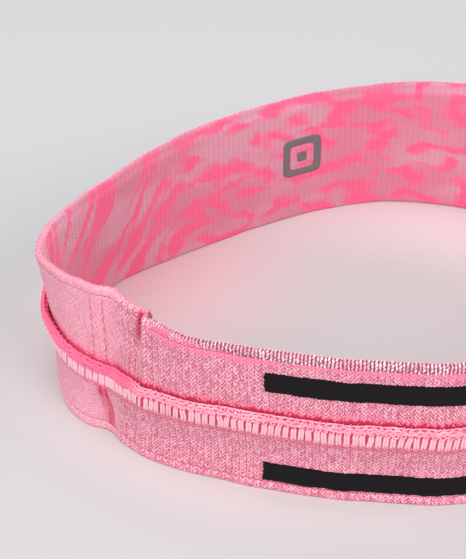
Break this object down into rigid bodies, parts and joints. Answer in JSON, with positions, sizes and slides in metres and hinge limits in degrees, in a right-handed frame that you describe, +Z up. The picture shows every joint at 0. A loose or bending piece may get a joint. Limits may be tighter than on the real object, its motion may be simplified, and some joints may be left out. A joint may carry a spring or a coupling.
{
  "type": "headband",
  "caption": "Stretch-knit sports headband, turned lining side out and standing on its edge, with an overlocked middle seam and velvet grip strips.",
  "frame": {"origin": "middle of the loop's bounding box, on the flat face that its bottom edge stands on", "axes": "+X along the loop's long axis, away from the closing seam's end; +Y across the loop, away from the near wall that carries the closing seam; +Z up through the loop, from its bottom edge to its top edge"},
  "size_m": [0.182, 0.156, 0.046],
  "materials": {
    "face_knit": "two-colour patterned knit, matt",
    "lining_knit": "heathered jersey knit, matt",
    "looper_thread": "textured polyester thread",
    "seam_thread": "textured polyester thread",
    "velvet": "black velvet pile",
    "reflective_film": "grey reflective transfer film"
  },
  "bodies": {
    "root": {"face_panel": "face_knit", "lining_upper": "lining_knit", "lining_lower": "lining_knit", "overlock_needle_thread": "seam_thread", "overlock_upper_looper_thread": "looper_thread", "overlock_lower_looper_thread": "seam_thread", "grip_strip_upper": "velvet", "grip_strip_lower": "velvet", "closing_seam_ridge": "lining_knit", "closing_stitches_lining": "looper_thread", "closing_stitches_face": "seam_thread", "reflective_mark": "reflective_film"}
  },
  "joints": []
}
